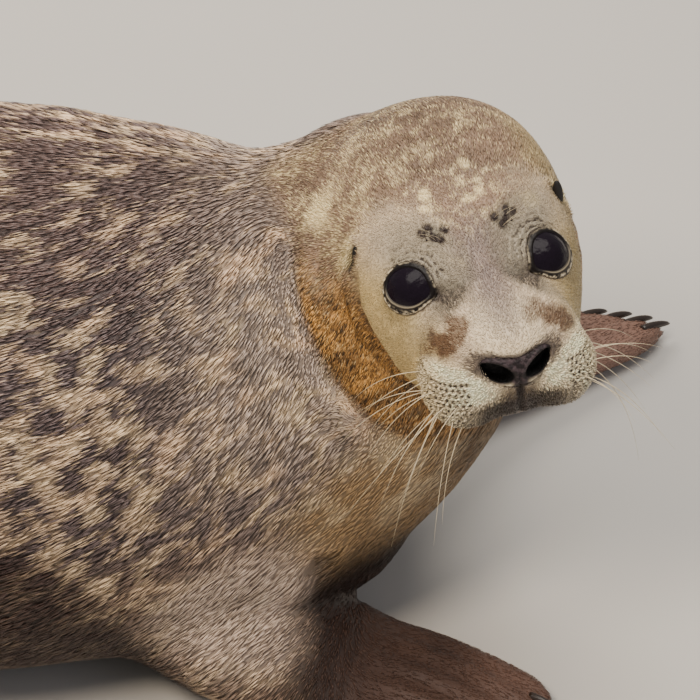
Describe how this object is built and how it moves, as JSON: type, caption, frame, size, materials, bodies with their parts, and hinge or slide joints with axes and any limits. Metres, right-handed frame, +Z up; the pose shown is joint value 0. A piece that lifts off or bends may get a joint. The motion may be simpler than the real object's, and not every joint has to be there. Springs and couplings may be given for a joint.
{
  "type": "harbor seal",
  "caption": "Harbor seal lying on its belly, head turned to its right and both fore flippers flat on the floor, a still life-size model.",
  "frame": {"origin": "on the belly's flat, on the floor below the shoulders", "axes": "+X along the trunk towards the chest, +Y to the seal's left, +Z up from the floor"},
  "size_m": [1.4564, 0.4701, 0.3485],
  "materials": {
    "head_coat": "short wet fur, brown with cream flecks",
    "body_coat": "short wet fur, grey-brown with cream rings and spots",
    "flipper_skin": "wet, very short dark brown fur over skin",
    "eye": "wet, near black, mirror smooth",
    "nose": "bare moist pebbled skin",
    "ear": "dark bare skin of the ear opening",
    "claw": "dark horn, smooth"
  },
  "bodies": {
    "root": {"head": "head_coat", "lower_jaw": "head_coat", "neck": "body_coat", "trunk": "body_coat", "hindquarters": "body_coat", "tail": "body_coat", "fore_flipper_left": "flipper_skin", "fore_flipper_right": "flipper_skin", "hind_flipper_left": "flipper_skin", "hind_flipper_right": "flipper_skin", "eye_left": "eye", "eye_right": "eye", "ear_left": "ear", "ear_right": "ear", "nose": "nose", "fore_claw_left_1": "claw", "fore_claw_left_2": "claw", "fore_claw_left_3": "claw", "fore_claw_left_4": "claw", "fore_claw_left_5": "claw", "fore_claw_right_1": "claw", "fore_claw_right_2": "claw", "fore_claw_right_3": "claw", "fore_claw_right_4": "claw", "fore_claw_right_5": "claw", "hind_claw_left_1": "claw", "hind_claw_left_2": "claw", "hind_claw_left_3": "claw", "hind_claw_left_4": "claw", "hind_claw_left_5": "claw", "hind_claw_right_1": "claw", "hind_claw_right_2": "claw", "hind_claw_right_3": "claw", "hind_claw_right_4": "claw", "hind_claw_right_5": "claw"}
  },
  "joints": []
}
